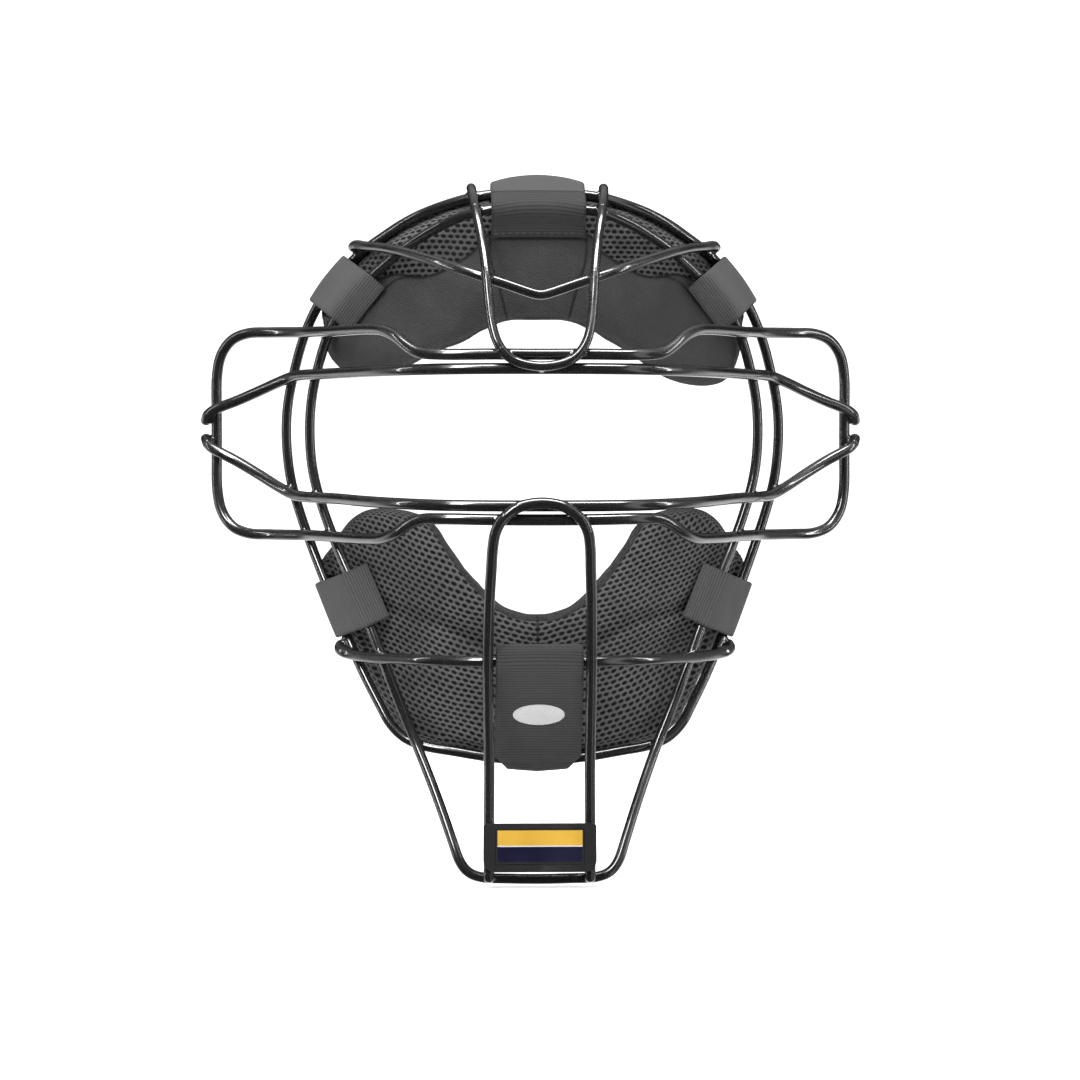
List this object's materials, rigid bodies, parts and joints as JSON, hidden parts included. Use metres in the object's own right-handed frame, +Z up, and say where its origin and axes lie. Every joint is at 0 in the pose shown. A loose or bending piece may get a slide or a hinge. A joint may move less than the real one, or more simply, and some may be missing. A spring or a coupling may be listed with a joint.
{
  "type": "catcher's mask",
  "caption": "Traditional catcher's mask: welded coated wire cage with a wide eye port and extended throat guard, padded brow and chin pads held on by hook-and-loop straps.",
  "frame": {"origin": "middle of the underside of the mask's bounding box, under the throat guard", "axes": "+Z up, -Y out of the front of the cage, +X to the viewer's right when facing the mask"},
  "size_m": [0.2966, 0.1378, 0.2988],
  "materials": {
    "coated_wire": "gloss black coating over steel wire",
    "badge_plastic": "black moulded plastic",
    "badge_print": "gold and navy printed bands",
    "screw_steel": "bright",
    "air_mesh": "open spacer mesh",
    "twill": "fine twill",
    "webbing": "ribbed webbing",
    "hook_tape": "hook tape",
    "foam": "matte foam",
    "lining": "brushed lining",
    "thread": "embroidery thread"
  },
  "bodies": {
    "cage": {"rear_ring_wire": "coated_wire", "front_ring_throat_wire": "coated_wire", "eye_port_loop": "coated_wire", "upper_eye_bar": "coated_wire", "lower_eye_bar": "coated_wire", "forehead_u_wire": "coated_wire", "forehead_v_wire": "coated_wire", "chin_crossbar": "coated_wire", "centre_loop_wire": "coated_wire", "badge_plate": "badge_plastic", "badge_label": "badge_print", "badge_clamp_bar": "badge_plastic", "badge_screws": "screw_steel", "top_pad_yoke_panel": "twill", "top_pad_mesh_cover": "air_mesh", "top_pad_firm_foam": "foam", "top_pad_comfort_foam": "foam", "top_pad_face_lining": "lining", "top_pad_edge_binding": "lining", "chin_pad_mesh_cover": "air_mesh", "chin_pad_firm_foam": "foam", "chin_pad_comfort_foam": "foam", "chin_pad_face_lining": "lining", "chin_pad_edge_binding": "lining", "top_strap_tail": "webbing", "upper_right_strap_tail": "webbing", "upper_left_strap_tail": "webbing", "lower_right_strap_tail": "webbing", "lower_left_strap_tail": "webbing", "chin_flap_tail": "webbing", "top_strap_hook_tape": "hook_tape", "upper_right_strap_hook_tape": "hook_tape", "upper_left_strap_hook_tape": "hook_tape", "lower_right_strap_hook_tape": "hook_tape", "lower_left_strap_hook_tape": "hook_tape", "chin_flap_hook_tape": "hook_tape"},
    "top_strap": {"top_strap_leaf": "webbing"},
    "upper_right_strap": {"upper_right_strap_leaf": "webbing"},
    "upper_left_strap": {"upper_left_strap_leaf": "webbing"},
    "lower_right_strap": {"lower_right_strap_leaf": "webbing"},
    "lower_left_strap": {"lower_left_strap_leaf": "webbing"},
    "chin_flap": {"chin_flap_leaf": "twill", "chin_flap_emblem": "thread"}
  },
  "joints": [
    {"name": "top_strap_peel", "type": "hinge", "parent": "cage", "child": "top_strap", "pos_m": [0, -0.00896, 0.2979], "axis": [-1, 0, 0], "range_deg": [0, 120]},
    {"name": "upper_right_strap_peel", "type": "hinge", "parent": "cage", "child": "upper_right_strap", "pos_m": [0.09122, 0.03405, 0.25876], "axis": [-0.5583, -0.4892, 0.6701], "range_deg": [0, 110]},
    {"name": "upper_left_strap_peel", "type": "hinge", "parent": "cage", "child": "upper_left_strap", "pos_m": [-0.09122, 0.03405, 0.25876], "axis": [-0.5583, 0.4892, -0.6701], "range_deg": [0, 110]},
    {"name": "lower_right_strap_peel", "type": "hinge", "parent": "cage", "child": "lower_right_strap", "pos_m": [0.09124, 0.02873, 0.11363], "axis": [0.3505, 0.4426, 0.8254], "range_deg": [0, 110]},
    {"name": "lower_left_strap_peel", "type": "hinge", "parent": "cage", "child": "lower_left_strap", "pos_m": [-0.09124, 0.02873, 0.11363], "axis": [0.3505, -0.4426, -0.8254], "range_deg": [0, 110]},
    {"name": "chin_flap_peel", "type": "hinge", "parent": "cage", "child": "chin_flap", "pos_m": [0, -0.00896, 0.0461], "axis": [1, 0, 0], "range_deg": [0, 45]}
  ]
}
